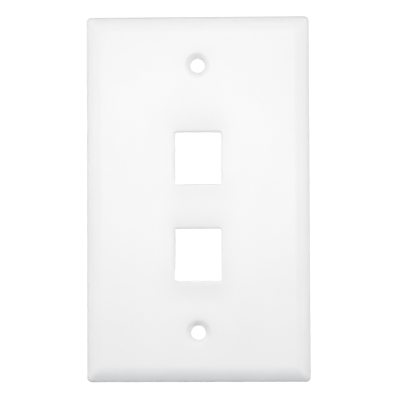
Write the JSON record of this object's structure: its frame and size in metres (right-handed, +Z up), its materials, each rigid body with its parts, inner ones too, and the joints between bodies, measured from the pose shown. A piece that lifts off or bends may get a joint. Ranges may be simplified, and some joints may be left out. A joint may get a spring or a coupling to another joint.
{
  "type": "keystone faceplate",
  "caption": "Rectangular wall plate with a crowned edge, port openings with collars for snap-in keystone jacks, and countersunk holes for cover screws.",
  "frame": {"origin": "middle of the wall plane that the rim of the plate rests on, halfway between the two screw holes", "axes": "+Z up, +Y into the wall, +X to the viewer's right; the front face looks along -Y"},
  "size_m": [0.0698, 0.0096, 0.1142],
  "materials": {
    "white_plastic": "smooth semi-gloss white moulding"
  },
  "bodies": {
    "root": {"faceplate": "white_plastic"}
  },
  "joints": []
}
